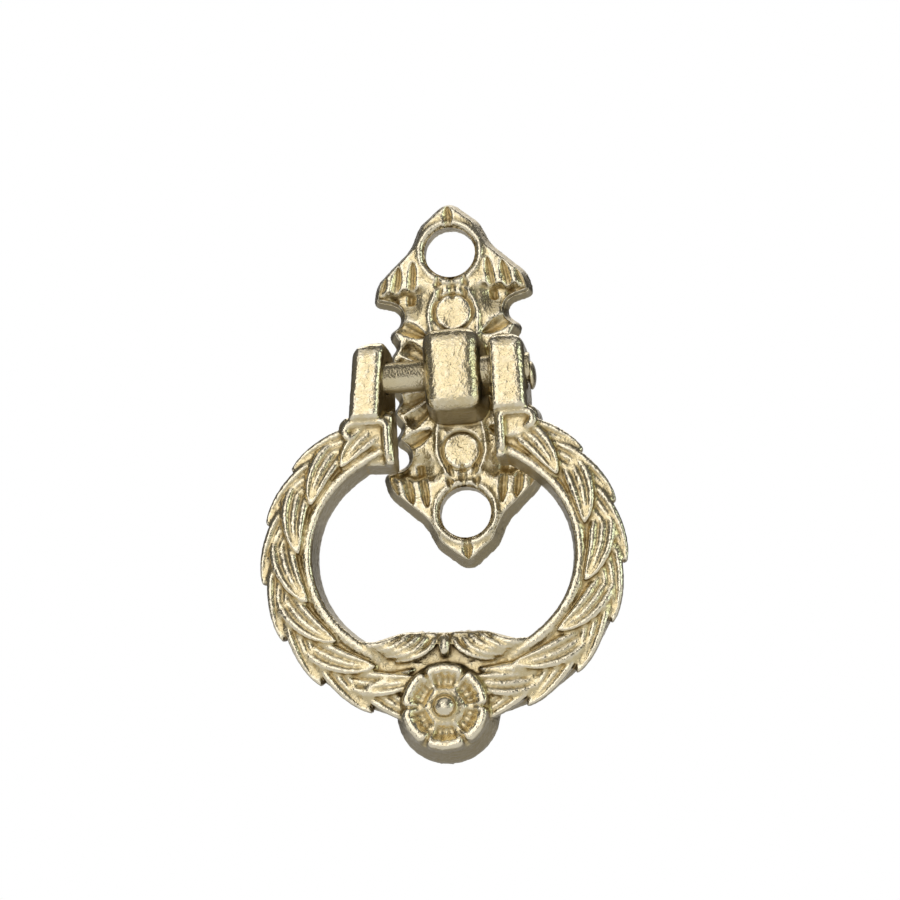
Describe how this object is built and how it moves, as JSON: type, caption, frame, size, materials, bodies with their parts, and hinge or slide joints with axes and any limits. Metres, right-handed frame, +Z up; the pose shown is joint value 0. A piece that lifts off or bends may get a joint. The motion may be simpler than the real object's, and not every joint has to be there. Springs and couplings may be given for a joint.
{
  "type": "ring pull handle",
  "caption": "Cast ring pull for a drawer or cabinet door: leaf-shaped backplate with a pivot post, and a laurel-wreath ring with a flower that hangs from a cross pin.",
  "frame": {"origin": "middle of the backplate's flat back, halfway between the two screw holes", "axes": "+Z up along the line of the screw holes, +Y into the door or drawer front, so that the handle's front faces -Y, +X to the right as seen from the front"},
  "size_m": [0.0342, 0.0092, 0.0541],
  "materials": {
    "plated_casting": "satin pale gold plating on a grainy zinc casting",
    "plated_pin": "satin pale gold plating on steel rod"
  },
  "bodies": {
    "plate": {"backplate": "plated_casting"},
    "pin": {"hinge_pin": "plated_pin"},
    "pull_ring": {"ring": "plated_casting"}
  },
  "joints": [
    {"name": "side_play", "type": "slide", "parent": "plate", "child": "pin", "axis": [1, 0, 0], "range_m": [-0.00058, 0.00288]},
    {"name": "ring_swing", "type": "hinge", "parent": "pin", "child": "pull_ring", "pos_m": [0, -0.0059, 0], "axis": [-1, 0, 0], "range_deg": [-6, 184.5]}
  ]
}
